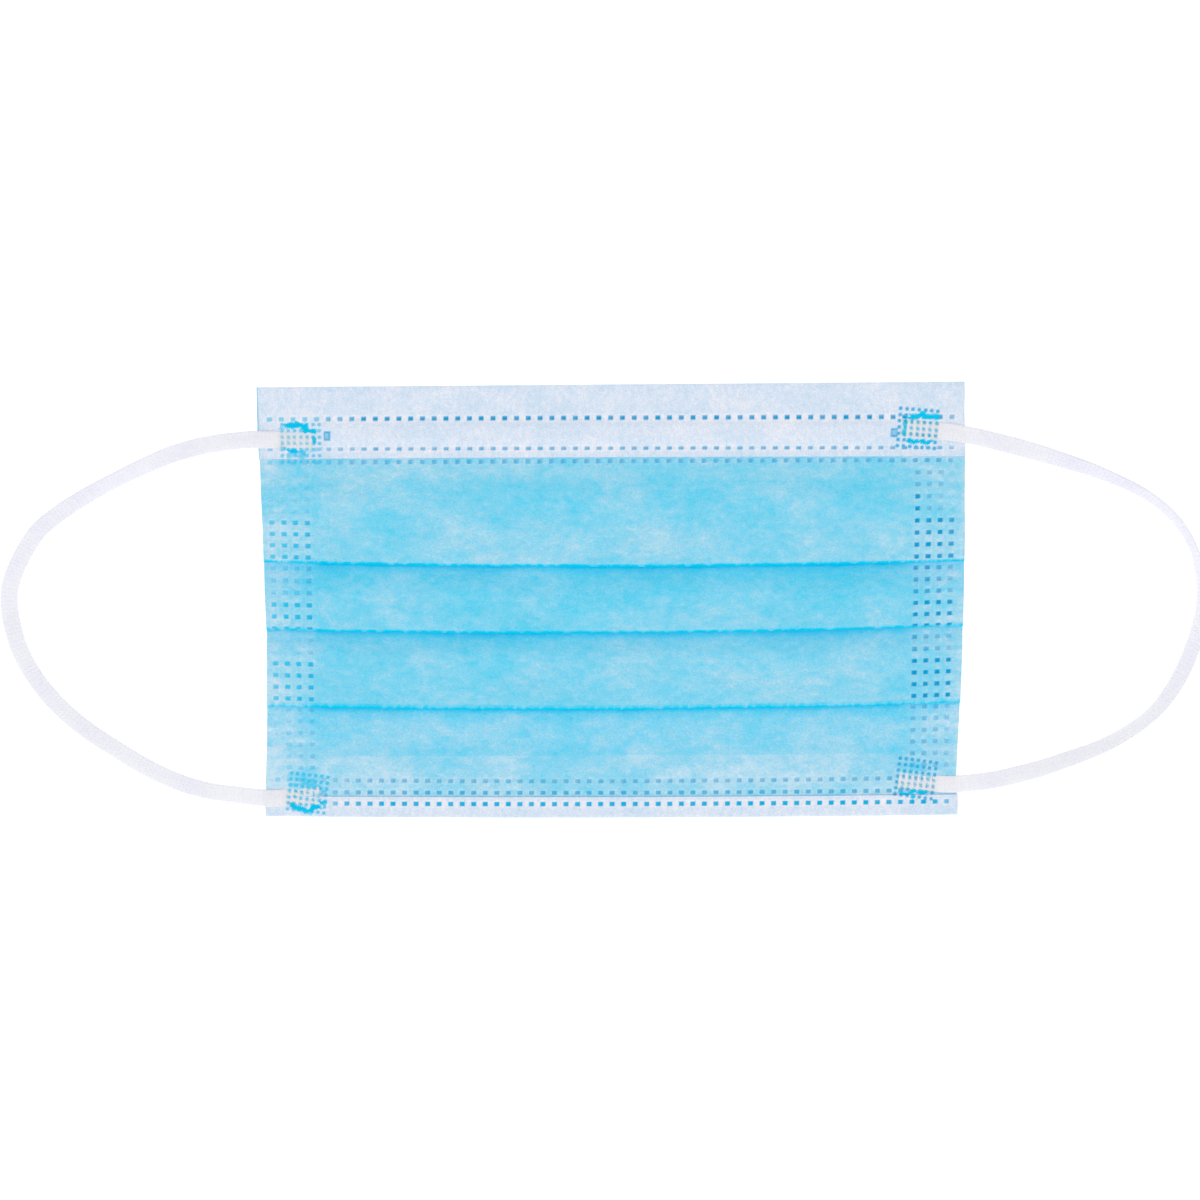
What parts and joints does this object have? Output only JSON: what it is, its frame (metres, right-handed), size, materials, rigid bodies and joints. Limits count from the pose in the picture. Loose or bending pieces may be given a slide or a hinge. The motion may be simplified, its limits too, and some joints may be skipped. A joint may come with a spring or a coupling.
{
  "type": "surgical face mask",
  "caption": "Flat folded pleated face mask with a white nose and chin hem, a nose wire in its hem and two flat elastic ear loops.",
  "frame": {"origin": "on the surface that the mask lies on, under the middle of its cloth without the ear loops", "axes": "+X across the mask to the viewer's right, +Y towards the nose edge, +Z out of the coloured outer side, away from the surface"},
  "size_m": [0.2629, 0.095, 0.0049],
  "materials": {
    "outer_cloth": "light blue spunbond nonwoven, matt with fine bond points",
    "inner_cloth": "white spunbond nonwoven, matt",
    "coated_wire": "white plastic coated soft wire",
    "elastic": "white knitted elastic with fine ribs along it"
  },
  "bodies": {
    "root": {"pleated_panel": "outer_cloth", "nose_hem": "inner_cloth", "chin_hem": "inner_cloth", "nose_wire": "coated_wire", "ear_loop_left": "elastic", "ear_loop_right": "elastic"}
  },
  "joints": []
}
